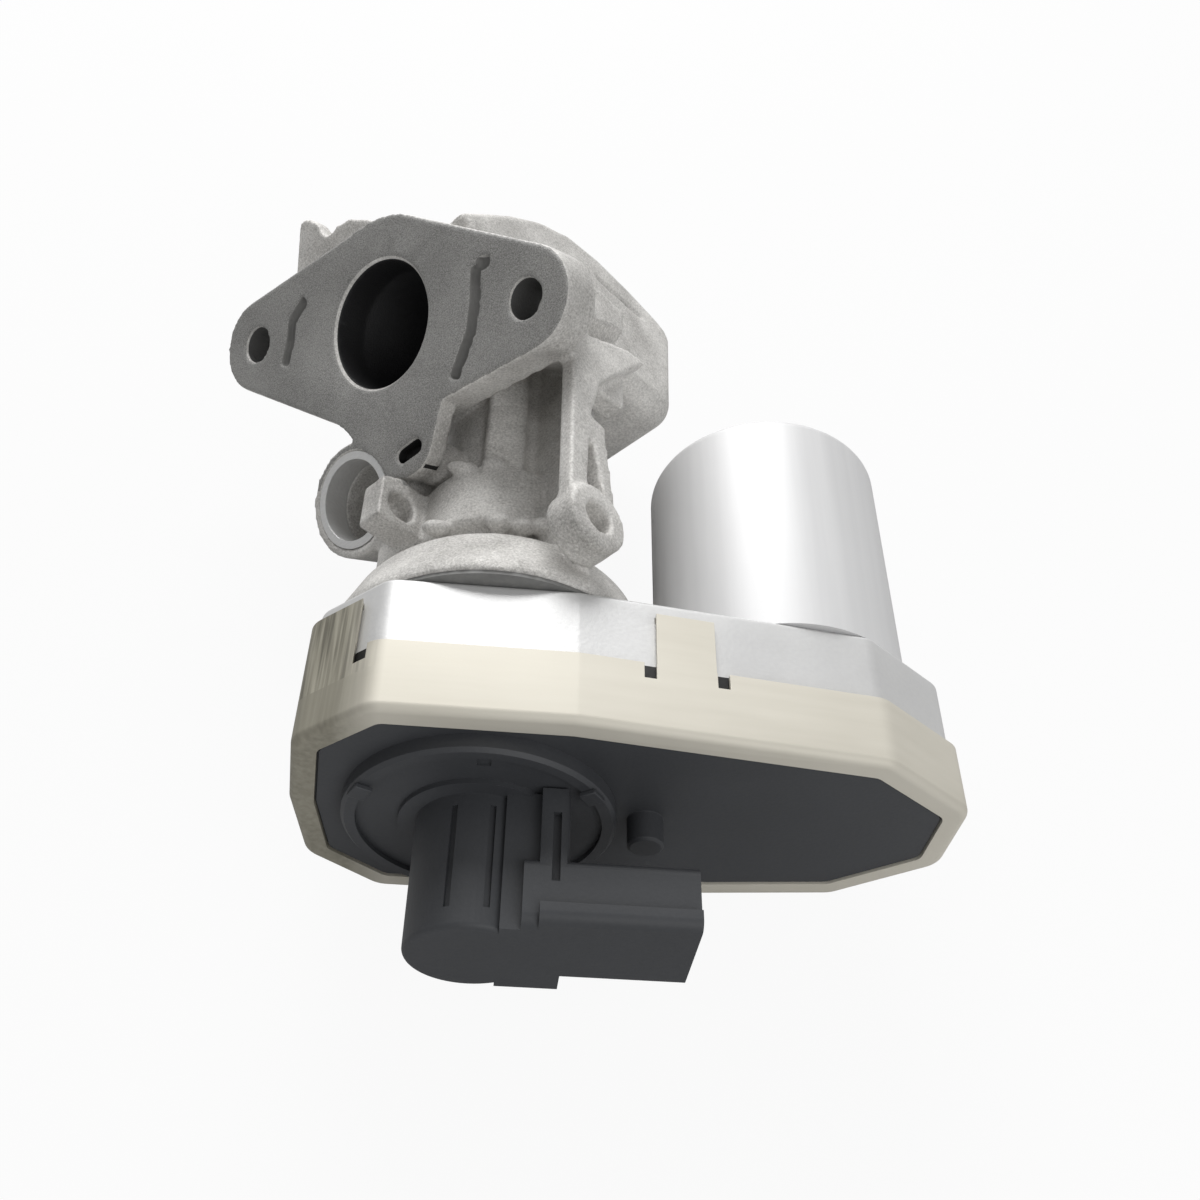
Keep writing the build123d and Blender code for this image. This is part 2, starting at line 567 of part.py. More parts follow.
def intermediate_gear():
    small = upright(involute_gear(OUTPUT_MODULE, SMALL_TEETH, BACKLASH), LARGE_HIGH - 0.5, IDLER_TOP)
    large = upright(involute_gear(MOTOR_MODULE, LARGE_TEETH, BACKLASH), LARGE_LOW, LARGE_HIGH)
    web_outer = MOTOR_MODULE * LARGE_TEETH / 2 - 3.5
    web_inner = OUTPUT_MODULE * SMALL_TEETH / 2 + 3
    large -= ring(web_outer, web_inner, LARGE_LOW - 1, LARGE_LOW + 1.2)
    small = Rot(0, 0, 180.0 - 180.0 / SMALL_TEETH) * small
    shape = small + large - disc(IDLER_PIN_R + RUNNING, 0, IDLER_TOP + 1)
    return Pos(IDLER_X, 0, 0) * shape


def intermediate_pin():
    return disc(IDLER_PIN_R, -PEG_HEIGHT + 2.0, DECK_TOP - 1.5, IDLER_X, 0)


def motor_pinion():
    turn = 180.0 / MOTOR_TEETH + 180.0
    outline = involute_gear(MOTOR_MODULE, MOTOR_TEETH, BACKLASH)
    gear = Rot(0, 0, turn) * upright(outline, LARGE_LOW - 0.3, LARGE_HIGH + 0.6)
    return Pos(MOTOR_X, 0, 0) * (gear - disc(SHAFT_R, 0, 20))


# Motor
BASE_BUSH_R = 6.0
END_PLATE = (DECK_TOP, DECK_TOP + 4.0)
MAGNET = (43.0, 74.0)
CORE = (46.0, 70.0)
BRUSH_Z = 37.5
MOTOR_SCREW_R = 2.0
MOTOR_SCREW_PCD_R = 15.5


def motor_can():
    """Deep-drawn can, rounded at the closed end."""
    outer = disc(CAN_R, DECK_TOP, CAN_TOP, MOTOR_X, 0)
    outer = fillet(outer.edges().sort_by(Z_AXIS)[-1], 2.6)
    return outer - disc(CAN_R - CAN_WALL, DECK_TOP - 1, CAN_TOP - CAN_WALL, MOTOR_X, 0)


def motor_end_plate():
    plate = ring(CAN_R - CAN_WALL, BASE_BUSH_R, *END_PLATE, MOTOR_X, 0)
    for x, y in motor_screw_places():
        plate -= disc(MOTOR_SCREW_R, END_PLATE[0] - 1, END_PLATE[1] - 0.8, x, y)
    return plate


def motor_screw_places():
    return [(MOTOR_X + side * MOTOR_SCREW_PCD_R * 0.6, side * MOTOR_SCREW_PCD_R * 0.8) for side in (-1, 1)]


def motor_shaft():
    return disc(SHAFT_R, LARGE_LOW - 0.3, CAN_TOP - CAN_WALL - 0.6, MOTOR_X, 0)


def motor_bushes():
    base = ring(BASE_BUSH_R, SHAFT_R + RUNNING, DECK_TOP - 5.0, END_PLATE[1], MOTOR_X, 0)
    top = ring(BASE_BUSH_R, SHAFT_R + RUNNING, CAN_TOP - CAN_WALL - 5.0, CAN_TOP - CAN_WALL, MOTOR_X, 0)
    return Compound(children=[base, top])


def armature_core():
    """Laminated core with five open slots."""
    core = disc(CORE_R, *CORE)
    for index in range(5):
        cut = Rot(0, 0, index * 72) * Pos(CORE_R - 4.0, 0, 0) * Box(9.0, 2.4, 200)
        core -= cut
    return Pos(MOTOR_X, 0, 0) * (core - disc(SHAFT_R, 0, 200))


def armature_windings():
    """End turns above and below the core."""
    coils = []
    for low, high in ((CORE[0] - 4.5, CORE[0]), (CORE[1], CORE[1] + 4.5)):
        turn = ring(CORE_R - 2.0, SHAFT_R + 2.0, low, high, MOTOR_X, 0)
        coils.append(fillet(turn.edges().filter_by(GeomType.CIRCLE).group_by(SortBy.RADIUS)[-1], 1.2))
    return Compound(children=coils)


def commutator():
    return ring(6.2, SHAFT_R, BRUSH_Z - 3.2, CORE[0] - 4.5, MOTOR_X, 0)


def motor_magnets():
    tile = ring(CAN_R - CAN_WALL, CORE_R + 0.8, *MAGNET)
    shapes = []
    for side in (-1, 1):
        keep = block((-60, 60), (4.0, 60) if side > 0 else (-60, -4.0), MAGNET)
        shapes.append(Pos(MOTOR_X, 0, 0) * (tile & keep))
    return Compound(children=shapes)


def brush_holder():
    shape = ring(CAN_R - CAN_WALL - 0.3, 8.4, END_PLATE[1], END_PLATE[1] + 1.6)
    for side in (-1, 1):
        tube = Pos(side * 14.4, 0, BRUSH_Z - 0.35) * (Box(11.0, 6.6, 6.6) - Box(12.0, 4.4, 4.4))
        shape += tube
    return Pos(MOTOR_X, 0, 0) * shape


def brushes():
    return Compound(children=[
        Pos(MOTOR_X + side * 11.6, 0, BRUSH_Z - 0.35) * Box(10.4, 4.2, 4.2) for side in (-1, 1)])


def motor_screws():
    screws = []
    for x, y in motor_screw_places():
        screws.append(Pos(x, y, DECK_TOP - DECK_THICKNESS) * Rot(180, 0, 0) * screw(6.2, MOTOR_SCREW_R, 3.5, 2.2))
    return Compound(children=screws)


# Housing, gasket, seal, cover and steel frame
COVER_FACE = 0.4
SENSOR_HOLE_R = 9.6
FRAME_NOTCH = ((-60, -COVER_LEFT_TIP + 20), (-11, 11))   # in the band's left end
HOUSING_GROW = LIP_WIDTH - SHEET - FRAME_CLEARANCE
HOUSING_BOTTOM = SHEET + COVER_THICKNESS
GEAR_ROOM_TOP = DECK_TOP - DECK_THICKNESS
PIN_BOSS_R = 5.0
TAB_TOP = DECK_TOP - 3.8
HOOK_DEPTH = 2.4
TABS = ((28.6, 39.2), (-COVER_LEFT_TIP - 3.0, -23.0))
RELIEFS = (27.4, 40.4, -22.0)
RELIEF_HALF = 1.1
RELIEF_DEPTH = 3.2


def tab_hook(x_low, x_high, side, play=0.0):
    """Inward fold at the end of a steel tab; with play it is the housing's pocket for it."""
    fold = opening_outline(LIP_WIDTH, 5.4) - opening_outline(LIP_WIDTH - HOOK_DEPTH - play, 5.0)
    keep = block((x_low - play, x_high + play), (0, 60) if side > 0 else (-60, 0), (0, DECK_TOP))
    return upright(fold, TAB_TOP - SHEET - play, TAB_TOP + play) & keep


def gear_housing():
    shape = upright(opening_outline(HOUSING_GROW, 5.0), HOUSING_BOTTOM, DECK_TOP)
    shape = fillet(shape.faces().sort_by(Z_AXIS)[-1].edges(), 1.2)
    shape -= upright(opening_outline(HOUSING_GROW - HOUSING_WALL, 3.0), HOUSING_BOTTOM - 1, GEAR_ROOM_TOP)
    shape += disc(BEARING_R + 3.0, BEARING[0], GEAR_ROOM_TOP)
    shape += disc(PIN_BOSS_R, IDLER_TOP + 0.4, GEAR_ROOM_TOP, IDLER_X, 0)
    shape += disc(BASE_BUSH_R + 2.4, DECK_TOP - 5.0, GEAR_ROOM_TOP, MOTOR_X, 0)
    shape -= disc(BEARING_R, BEARING[0] - 1, BEARING[1])
    shape -= disc(CAGE_R, BEARING[1] - 1, DECK_TOP + 1)
    shape -= disc(IDLER_PIN_R, IDLER_TOP - 1, DECK_TOP - 1.5, IDLER_X, 0)
    shape -= disc(BASE_BUSH_R, DECK_TOP - 6.0, DECK_TOP + 1, MOTOR_X, 0)
    for x, y in motor_screw_places():
        shape -= disc(MOTOR_SCREW_R, GEAR_ROOM_TOP - 1, DECK_TOP + 1, x, y)
    for place in foot_places():
        shape -= place * disc(FOOT_THREAD_R, GEAR_ROOM_TOP - 1, DECK_TOP + 1)
    for side in (-1, 1):
        for x_low, x_high in TABS:
            shape -= tab_hook(x_low, x_high, side, FIT)
    groove = opening_outline(HOUSING_GROW - 0.7, 4.3) - opening_outline(HOUSING_GROW - 1.9, 3.1)
    return shape - upright(groove, HOUSING_BOTTOM - 1, HOUSING_BOTTOM + 1.2)


def cover_seal():
    """Moulded cord in the groove of the housing's rim."""
    shape = opening_outline(HOUSING_GROW - 0.75, 4.25) - opening_outline(HOUSING_GROW - 1.85, 3.15)
    return upright(shape, HOUSING_BOTTOM, HOUSING_BOTTOM + 1.1)


def body_gasket():
    shape = ring(BELL_R - 0.6, CAGE_FLANGE_R + 0.6, DECK_TOP, BELL_BOTTOM)
    for place in foot_places():
        shape -= place * disc(FOOT_THREAD_R + 0.2, DECK_TOP - 1, BELL_BOTTOM + 1)
    return shape


def body_screws():
    screws = []
    length = BELL_BOTTOM + FOOT_THREAD_DEPTH - 2.0 - GEAR_ROOM_TOP
    for place in foot_places():
        screws.append(place * Pos(0, 0, GEAR_ROOM_TOP) * Rot(180, 0, 0) * screw(length, FOOT_THREAD_R, 3.4, 2.2))
    return Compound(children=screws)


def gear_cover():
    """Plastic cover: a raised face in the frame's opening, a rim under its lip and the idler's peg."""
    shape = upright(opening_outline(HOUSING_GROW, 5.0), SHEET, HOUSING_BOTTOM)
    shape += upright(opening_outline(-0.35, 2.6), COVER_FACE, SHEET + 0.5)
    peg = disc(PEG_R, -PEG_HEIGHT, SHEET, IDLER_X, 0)
    shape += chamfer(peg.edges().sort_by(Z_AXIS)[0], 0.5)
    shape += disc(PEG_R + 1.2, HOUSING_BOTTOM - 0.5, LARGE_LOW - 0.4, IDLER_X, 0)
    shape -= disc(IDLER_PIN_R, -PEG_HEIGHT + 2.0, LARGE_LOW, IDLER_X, 0)
    return shape - disc(SENSOR_HOLE_R, -5, 10)


def side_tab(x_low, x_high, side):
    """Tab on the frame's side; its end folds into the housing's wall."""
    sides = opening_outline(LIP_WIDTH, 5.4) - opening_outline(HOUSING_GROW + FRAME_CLEARANCE, 5.0)
    keep = block((x_low, x_high), (0, 60) if side > 0 else (-60, 0), (BAND_HEIGHT - 1, TAB_TOP))
    return (upright(sides, BAND_HEIGHT - 1, TAB_TOP) & keep) + tab_hook(x_low, x_high, side)


def retaining_frame():
    """Folded steel band with an inward lip below and tabs that hold the housing."""
    shape = upright(opening_outline(LIP_WIDTH, 5.4), 0, BAND_HEIGHT)
    shape = fillet(shape.faces().sort_by(Z_AXIS)[0].edges(), 1.6)
    shape -= upright(opening_outline(HOUSING_GROW + FRAME_CLEARANCE, 5.0), SHEET, BAND_HEIGHT + 1)
    shape -= upright(opening_outline(0, 2.6), -1, SHEET + 1)
    for side in (-1, 1):
        for x_low, x_high in TABS:
            shape += side_tab(x_low, x_high, side)
        for x in RELIEFS:
            shape -= block((x - RELIEF_HALF, x + RELIEF_HALF), (15, 60) if side > 0 else (-60, -15),
                           (BAND_HEIGHT - RELIEF_DEPTH, BAND_HEIGHT + 1))
    return shape - block(*FRAME_NOTCH, (BAND_HEIGHT, 60))


# Position sensor
COIL = (-24.5, -3.5)
COIL_R = 7.4
CORE_ROD_R = 1.8
FACE_NOTCH = ((-1.0, 1.4), (-22.0, -18.4))
STRIP_SLOT = ((12.6, 14.0), (PLUG_FRONT - 1, PLUG_FRONT + 1.6))


def sensor_housing():
    """Ring flange, barrel and plug socket in one moulding."""
    shape = disc(RING_R, RING_FACE, COVER_FACE)
    shape = chamfer(shape.edges().sort_by(Z_AXIS)[0], 0.7)
    shape -= ring(RING_R - 2.6, BARREL_R + 3.2, RING_FACE - 1, RING_FACE + 1.0)
    barrel = disc(BARREL_R, BARREL_END, RING_FACE + 1.5)
    shape += fillet(barrel.edges().sort_by(Z_AXIS)[0], 1.0)
    shape += block((4.6, 15.6), (PLUG_FRONT + 2.4, PLUG_BACK + 4.4), (BARREL_END, RING_FACE + 0.5))
    socket = block((8.0, PLUG_END), (PLUG_FRONT, PLUG_BACK), (BARREL_END, PLUG_TOP))
    shape += fillet(socket.edges().filter_by(Axis.X), 2.2)
    rim = block((10.8, PLUG_END), (PLUG_FRONT - 1.3, PLUG_BACK + 0.6), (BARREL_END, BARREL_END + 3.4))
    shape += fillet(rim.edges().filter_by(Axis.X).group_by(Axis.Z)[0], 2.0)
    shape += block((10.6, 15.1), (PLUG_FRONT + 0.2, PLUG_BACK), (PLUG_TOP - 2, RING_FACE + 0.5))
    shape -= block((18.0, PLUG_END + 1), (PLUG_FRONT + 2.0, PLUG_BACK - 1.8), (BARREL_END + 2.0, PLUG_TOP - 2.0))
    shape -= block(*FACE_NOTCH, (RING_FACE - 1, RING_FACE + 1.4))
    shape -= block(*STRIP_SLOT, (-20.0, -7.0))
    for angle in (-112, -78, -48):
        shape -= Rot(0, 0, angle) * Pos(BARREL_R, 0, -14.5) * Box(1.5, 1.1, 19.0)
    shape -= disc(COIL_R + FIT, COIL[0] - FIT, COVER_FACE + 1)
    return shape + ring(SENSOR_HOLE_R - FIT, COIL_R + FIT, COVER_FACE - 1, HOUSING_BOTTOM - 0.2)


def sensor_coil():
    bobbin = ring(COIL_R, CORE_ROD_R + 0.5, *COIL)
    return bobbin - ring(COIL_R + 1, COIL_R - 1.6, COIL[0] + 2, COIL[1] - 2)


def sensor_core():
    """Rod on the foot of the stem; it slides in the coil."""
    return disc(CORE_ROD_R, CORE_END, STEM_FOOT)


def sensor_clips():
    """Small clips that lock the ring flange to the cover."""
    clips = []
    for angle in (-34.0, 86.0, 206.0):
        clip = Rot(0, 0, angle) * Pos(RING_R - 1.6, 0, RING_FACE - 0.5) * Box(3.2, 3.6, 1.0)
        clips.append(clip)
    return Compound(children=clips)


def connector_pins():
    pins = []
    width = PLUG_BACK - PLUG_FRONT
    for index in range(5):
        y = PLUG_FRONT + width * (0.22 + 0.14 * index)
        middle = (BARREL_END + PLUG_TOP) / 2
        pins.append(Pos(24.5, y, middle) * Box(13.0, 1.2, 0.8))
    return Compound(children=pins)


def bodies():
    """Every node of the part by name."""
    return {
        "valve_body": valve_body(),
        "side_port_ring": side_port_ring(),
        "top_plug": top_plug(),
        "valve_seat": valve_seat(),
        "valve_poppet": valve_poppet(),
        "valve_stem": valve_stem(),
        "stem_bush": stem_bush(),
        "stem_seal": stem_seal(),
        "spring_retainer": spring_retainer(),
        "return_spring": return_spring(),
        "output_gear": output_gear(),
        "output_bearing": output_bearing(),
        "guide_cage": guide_cage(),
        "cross_pin": cross_pin(),
        "cam_rollers": cam_rollers(),
        "intermediate_gear": intermediate_gear(),
        "intermediate_pin": intermediate_pin(),
        "motor_pinion": motor_pinion(),
        "motor_can": motor_can(),
        "motor_end_plate": motor_end_plate(),
        "motor_shaft": motor_shaft(),
        "motor_bushes": motor_bushes(),
        "armature_core": armature_core(),
        "armature_windings": armature_windings(),
        "commutator": commutator(),
        "motor_magnets": motor_magnets(),
        "brush_holder": brush_holder(),
        "brushes": brushes(),
        "motor_screws": motor_screws(),
        "gear_housing": gear_housing(),
        "cover_seal": cover_seal(),
        "body_gasket": body_gasket(),
        "body_screws": body_screws(),
        "gear_cover": gear_cover(),
        "retaining_frame": retaining_frame(),
        "sensor_housing": sensor_housing(),
        "sensor_coil": sensor_coil(),
        "sensor_core": sensor_core(),
        "sensor_clips": sensor_clips(),
        "connector_pins": connector_pins(),
    }


port = Rot(0, 0, CAST_TURN) * Pos(PORT_CENTRE)
lay_down = Rot(-90, 0, 0) * Pos(-port.position)

os.makedirs("parts", exist_ok=True)
for name, shape in bodies().items():
    export_step(lay_down * shape, f"parts/{name}.step")
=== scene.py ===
import math

import bmesh
import bpy
from mathutils import Matrix, Vector


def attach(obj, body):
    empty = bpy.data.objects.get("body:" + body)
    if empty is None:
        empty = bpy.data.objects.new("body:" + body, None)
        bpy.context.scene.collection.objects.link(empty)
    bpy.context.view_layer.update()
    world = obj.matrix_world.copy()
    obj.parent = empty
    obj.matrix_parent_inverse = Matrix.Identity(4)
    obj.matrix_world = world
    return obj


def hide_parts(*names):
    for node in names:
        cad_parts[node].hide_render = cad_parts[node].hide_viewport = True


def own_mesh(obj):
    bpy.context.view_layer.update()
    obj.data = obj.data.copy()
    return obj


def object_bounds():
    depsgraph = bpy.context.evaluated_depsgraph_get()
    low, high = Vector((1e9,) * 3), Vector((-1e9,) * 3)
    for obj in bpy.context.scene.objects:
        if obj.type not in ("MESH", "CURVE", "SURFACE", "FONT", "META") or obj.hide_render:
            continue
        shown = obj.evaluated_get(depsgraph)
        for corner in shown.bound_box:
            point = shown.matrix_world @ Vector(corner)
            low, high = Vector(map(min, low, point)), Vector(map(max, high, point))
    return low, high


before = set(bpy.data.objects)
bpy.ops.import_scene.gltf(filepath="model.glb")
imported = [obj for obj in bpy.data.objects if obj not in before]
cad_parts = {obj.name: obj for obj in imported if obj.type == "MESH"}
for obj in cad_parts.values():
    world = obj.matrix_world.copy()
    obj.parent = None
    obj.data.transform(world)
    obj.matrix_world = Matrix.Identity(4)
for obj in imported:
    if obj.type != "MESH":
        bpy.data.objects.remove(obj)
cad_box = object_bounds()


# The floor, the light and the camera
# A white sheet under the valve, which lies on its back, with broad soft lamps above the gas flange.
# Everything is in metres, with +Y up the valve's stem and the gas port's centre at the origin.
class Wire:
    """A value, colour or vector on its way through a material's nodes."""

    def __init__(self, finish, socket):
        self.finish = finish
        self.socket = socket

    def maths(self, operation, first, second):
        return self.finish.maths(operation, first, second)

    def __add__(self, other):
        return self.maths("ADD", self, other)

    def __radd__(self, other):
        return self.maths("ADD", other, self)

    def __sub__(self, other):
        return self.maths("SUBTRACT", self, other)

    def __mul__(self, other):
        return self.maths("MULTIPLY", self, other)

    def __rmul__(self, other):
        return self.maths("MULTIPLY", other, self)

    def __gt__(self, other):
        return self.maths("GREATER_THAN", self, other)

    def __lt__(self, other):
        return self.maths("LESS_THAN", self, other)

    def __abs__(self):
        return self.maths("ABSOLUTE", self, 0.0)

    def between(self, low, high):
        """1 where the value lies between two limits, otherwise 0."""
        return (self > low) * (self < high)

    def near(self, centre, reach):
        """1 where the value is less than a reach away from a centre, otherwise 0."""
        return abs(self - centre) < reach


class Finish:
    """A material under construction, with one method that adds any node."""

    # Places of the colour sockets on a Mix node, whose sockets share their names
    FIRST_COLOUR = 6
    SECOND_COLOUR = 7
    MIXED_COLOUR = 2

    def __init__(self, name):
        self.material = bpy.data.materials.new(name)
        self.material.use_nodes = True
        self.tree = self.material.node_tree
        self.tree.nodes.clear()
        self.place = self.node("ShaderNodeTexCoord", {}, {}, "Object")

    def node(self, kind, settings, inputs, output=0):
        made = self.tree.nodes.new(kind)
        for key, value in settings.items():
            if key == "stops":
                self.set_stops(made.color_ramp, value)
            else:
                setattr(made, key, value)
        for key, value in inputs.items():
            if isinstance(value, Wire):
                self.tree.links.new(value.socket, made.inputs[key])
            else:
                made.inputs[key].default_value = value
        return Wire(self, made.outputs[output])

    def set_stops(self, ramp, stops):
        while len(ramp.elements) < len(stops):
            ramp.elements.new(0.5)
        for element, (position, colour) in zip(ramp.elements, stops):
            element.position = position
            element.color = (*colour, 1)

    def maths(self, operation, first, second):
        return self.node("ShaderNodeMath", {"operation": operation}, {0: first, 1: second})

    def dot(self, direction):
        """Object place measured along a direction."""
        return self.node("ShaderNodeVectorMath", {"operation": "DOT_PRODUCT"}, {
            0: self.place, 1: tuple(direction)}, "Value")

    def stretched(self, scale):
        """Object place, stretched along the axes."""
        return self.node("ShaderNodeMapping", {}, {"Vector": self.place, "Scale": scale}, "Vector")

    def noise(self, scale, detail=3.0, vector=None, roughness=0.5):
        return self.node("ShaderNodeTexNoise", {}, {
            "Vector": vector or self.place, "Scale": scale, "Detail": detail, "Roughness": roughness}, "Fac")

    def ramp(self, factor, *stops):
        """Colour that runs through stops, each a position and a colour."""
        return self.node("ShaderNodeValToRGB", {"stops": stops}, {"Fac": factor}, "Color")

    def blend(self, factor, first, second):
        return self.node("ShaderNodeMix", {"data_type": "RGBA"}, {
            "Factor": factor, self.FIRST_COLOUR: first, self.SECOND_COLOUR: second}, self.MIXED_COLOUR)

    def bump(self, height, strength, distance, below=None):
        inputs = {"Height": height, "Strength": strength, "Distance": distance}
        if below:
            inputs["Normal"] = below
        return self.node("ShaderNodeBump", {}, inputs, "Normal")

    def soft_edges(self, radius):
        return self.node("ShaderNodeBevel", {"samples": 4}, {"Radius": radius}, "Normal")

    def surface(self, **sockets):
        inputs = {key.replace("_", " ").title(): value for key, value in sockets.items()}
        shader = self.node("ShaderNodeBsdfPrincipled", {}, inputs, "BSDF")
        return self.finished(shader)

    def finished(self, shader):
        """Joins a shader to the material's output."""
        out = self.tree.nodes.new("ShaderNodeOutputMaterial")
        self.tree.links.new(shader.socket, out.inputs["Surface"])
        return self.material


FLOOR_HALF = 1.5
PAPER_GREY = 0.55
PAPER_SEEN_WHITE = 0.93


def paper_finish():
    paper = Finish("paper")
    seen = paper.node("ShaderNodeLightPath", {}, {}, "Is Camera Ray")
    lit = paper.node("ShaderNodeBsdfDiffuse", {}, {"Color": (PAPER_GREY, PAPER_GREY, PAPER_GREY, 1)}, "BSDF")
    white = paper.node("ShaderNodeEmission", {}, {"Color": (1, 1, 1, 1), "Strength": 1.0}, "Emission")
    mixed = paper.node("ShaderNodeMixShader", {}, {0: seen * PAPER_SEEN_WHITE, 1: lit, 2: white}, "Shader")
    return paper.finished(mixed)


floor_height = cad_box[0].z
floor_mesh = bpy.data.meshes.new("floor")
floor_bm = bmesh.new()
bmesh.ops.create_grid(floor_bm, x_segments=1, y_segments=1, size=FLOOR_HALF)
bmesh.ops.translate(floor_bm, verts=floor_bm.verts, vec=(0, 0, floor_height))
floor_bm.to_mesh(floor_mesh)
floor_bm.free()
floor = bpy.data.objects.new("floor", floor_mesh)
bpy.context.scene.collection.objects.link(floor)
floor_mesh.materials.append(paper_finish())

WORLD_LEVEL = 0.34
WORLD_SEEN_LEVEL = 1.0
world = bpy.data.worlds.new("studio")
bpy.context.scene.world = world
world.use_nodes = True
world_nodes = world.node_tree.nodes
world_links = world.node_tree.links
background = world_nodes["Background"]
background.inputs["Color"].default_value = (1, 1, 1, 1)
light_path = world_nodes.new("ShaderNodeLightPath")
world_strength = world_nodes.new("ShaderNodeMix")
world_strength.inputs["A"].default_value = WORLD_LEVEL
world_strength.inputs["B"].default_value = WORLD_SEEN_LEVEL
world_links.new(light_path.outputs["Is Camera Ray"], world_strength.inputs["Factor"])
world_links.new(world_strength.outputs["Result"], background.inputs["Strength"])

LAMP_SIZE = 0.5
LAMP_TARGET = Vector((0.05, -0.04, 0.0))


def lamp(name, place, power):
    light = bpy.data.lights.new(name, "AREA")
    light.size = LAMP_SIZE
    light.energy = power
    holder = bpy.data.objects.new(name, light)
    bpy.context.scene.collection.objects.link(holder)
    holder.location = place
    holder.rotation_euler = (LAMP_TARGET - Vector(place)).to_track_quat("-Z", "Y").to_euler()


lamp("key", (-0.05, 0.60, 0.45), 7.0)
lamp("front", (0.30, -0.50, 0.40), 1.8)

CAMERA_FOCAL_LENGTH = 39.4
CAMERA_SENSOR = 36.0
CAMERA_PLACE = (0.03089, -0.22516, 0.18119)
CAMERA_RIGHT = Vector((0.995, 0.009, 0.103))
CAMERA_UP = Vector((-0.073, 0.766, 0.638))
CAMERA_BACK = CAMERA_RIGHT.cross(CAMERA_UP)
camera_lens = bpy.data.cameras.new("camera")
camera_lens.lens = CAMERA_FOCAL_LENGTH
camera_lens.sensor_width = CAMERA_SENSOR
camera_lens.clip_start = 0.01
camera = bpy.data.objects.new("camera", camera_lens)
bpy.context.scene.collection.objects.link(camera)
camera_turn = Matrix((CAMERA_RIGHT, CAMERA_UP, CAMERA_BACK)).transposed().to_4x4()
camera.matrix_world = Matrix.Translation(CAMERA_PLACE) @ camera_turn
bpy.context.scene.camera = camera
bpy.context.scene.view_settings.view_transform = "Standard"


# The valve body
# Sand-cast light alloy with a ground flange: flange, gas duct, neck and bell are one casting. Its solid gets
# the casting's lumps, a remesh that rounds every edge a little, and the port's machined chamfer.
GAS_AXIS = Vector((-0.66998, -0.45243, 0.58859))
BOLT_AXIS = Vector((0.74225, -0.39374, 0.54224))
ACROSS_BOLTS = GAS_AXIS.cross(BOLT_AXIS)
PORT_RADIUS = 0.0139
PORT_CHAMFER = 0.0011

# The ground face: heights above and below it, and the corner and end that its outline leaves out
FACE_BELOW = 0.0004
FACE_ABOVE = 0.0008
FACE_CORNER_ACROSS = -0.0225
FACE_CORNER_ALONG = 0.0190
FACE_END = -0.0355

# Shaded places in the face, measured from the port's centre, along and across the line of the bolts
HOLE_TOP = -0.0009
BORE_SHADE_RADIUS = PORT_RADIUS * 1.02
GROOVE_INNER = 0.0200
GROOVE_OUTER = 0.0325
GROOVE_ENDS = (-0.0145, 0.0102)
GROOVE_FLOOR = -0.0024
BOLT_REACH = 0.0412
BOLT_SHADE_RADIUS = 0.0045
BOLT_SHADE_FLOOR = -0.0090
SLOT_PLACE = (0.0115, -0.0282)
SLOT_HALF = (0.0046, 0.0036)
SLOT_FLOOR = -0.0048


def flange_face_and_shade_masks(cast):
    """Where the casting has its ground face, and where shade is painted into its grooves, bolt holes, slot
    and gas bore.
    """
    height = cast.dot(GAS_AXIS)
    along = cast.dot(BOLT_AXIS)
    across = cast.dot(ACROSS_BOLTS)
    radius_squared = along * along + across * across
    off_bolt = abs(along) - BOLT_REACH
    in_outline = ((across > FACE_CORNER_ACROSS) + (along < FACE_CORNER_ALONG) > 0.5) * (across > FACE_END)
    face = height.between(-FACE_BELOW, FACE_ABOVE) * in_outline
    # Painted shade: the grooves are coloured darker than the face around them
    beside_port = radius_squared.between(GROOVE_INNER ** 2, GROOVE_OUTER ** 2)
    groove_shade = beside_port * across.between(*GROOVE_ENDS) * height.between(GROOVE_FLOOR, -FACE_BELOW)
    # Painted shade: the insides of the bolt holes are coloured dark grey
    in_bolt_round = off_bolt * off_bolt + across * across < BOLT_SHADE_RADIUS ** 2
    bolt_hole_shade = in_bolt_round * height.between(BOLT_SHADE_FLOOR, HOLE_TOP)
    # Painted shade: the inside of the flange's slot is coloured near black
    in_slot_box = along.near(SLOT_PLACE[0], SLOT_HALF[0]) * across.near(SLOT_PLACE[1], SLOT_HALF[1])
    slot = in_slot_box * height.between(SLOT_FLOOR, HOLE_TOP)
    # Painted shade: the gas bore is coloured near black below its rim
    bore_shade = (radius_squared < BORE_SHADE_RADIUS ** 2) * (height < HOLE_TOP)
    return face, groove_shade, bolt_hole_shade, slot, bore_shade


def sand_cast_finish():
    cast = Finish("sand_cast")
    grain = cast.noise(2100.0, 4.0, roughness=0.75)
    patches = cast.noise(55.0, 5.0, roughness=0.6)
    specks = cast.noise(3600.0, 2.0, roughness=0.8)
    face, groove_shade, bolt_hole_shade, slot, bore_shade = flange_face_and_shade_masks(cast)
    worn = cast.ramp(
        grain * 0.55 + patches * 0.45, (0.36, (0.30, 0.29, 0.275)), (0.66, (0.86, 0.845, 0.815)))
    ground = cast.ramp(
        specks * 0.75 + patches * 0.25, (0.34, (0.15, 0.148, 0.142)), (0.68, (0.46, 0.455, 0.44)))
    colour = cast.blend(face, worn, ground)
    # Painted shade: grooves, bolt holes, slot and gas bore are coloured dark, as the shade inside them
    colour = cast.blend(groove_shade, colour, (0.20, 0.198, 0.19, 1))
    colour = cast.blend(bolt_hole_shade, colour, (0.085, 0.085, 0.083, 1))
    # Painted shade inside the slot
    colour = cast.blend(slot, colour, (0.012, 0.012, 0.012, 1))
    colour = cast.blend(bore_shade, colour, (0.012, 0.012, 0.013, 1))
    relief = cast.bump(grain + 0.6 * specks + 0.5 * patches, 0.5, 0.00035)
    return cast.surface(base_color=colour, metallic=0.25, roughness=0.46 + 0.22 * patches, normal=relief)


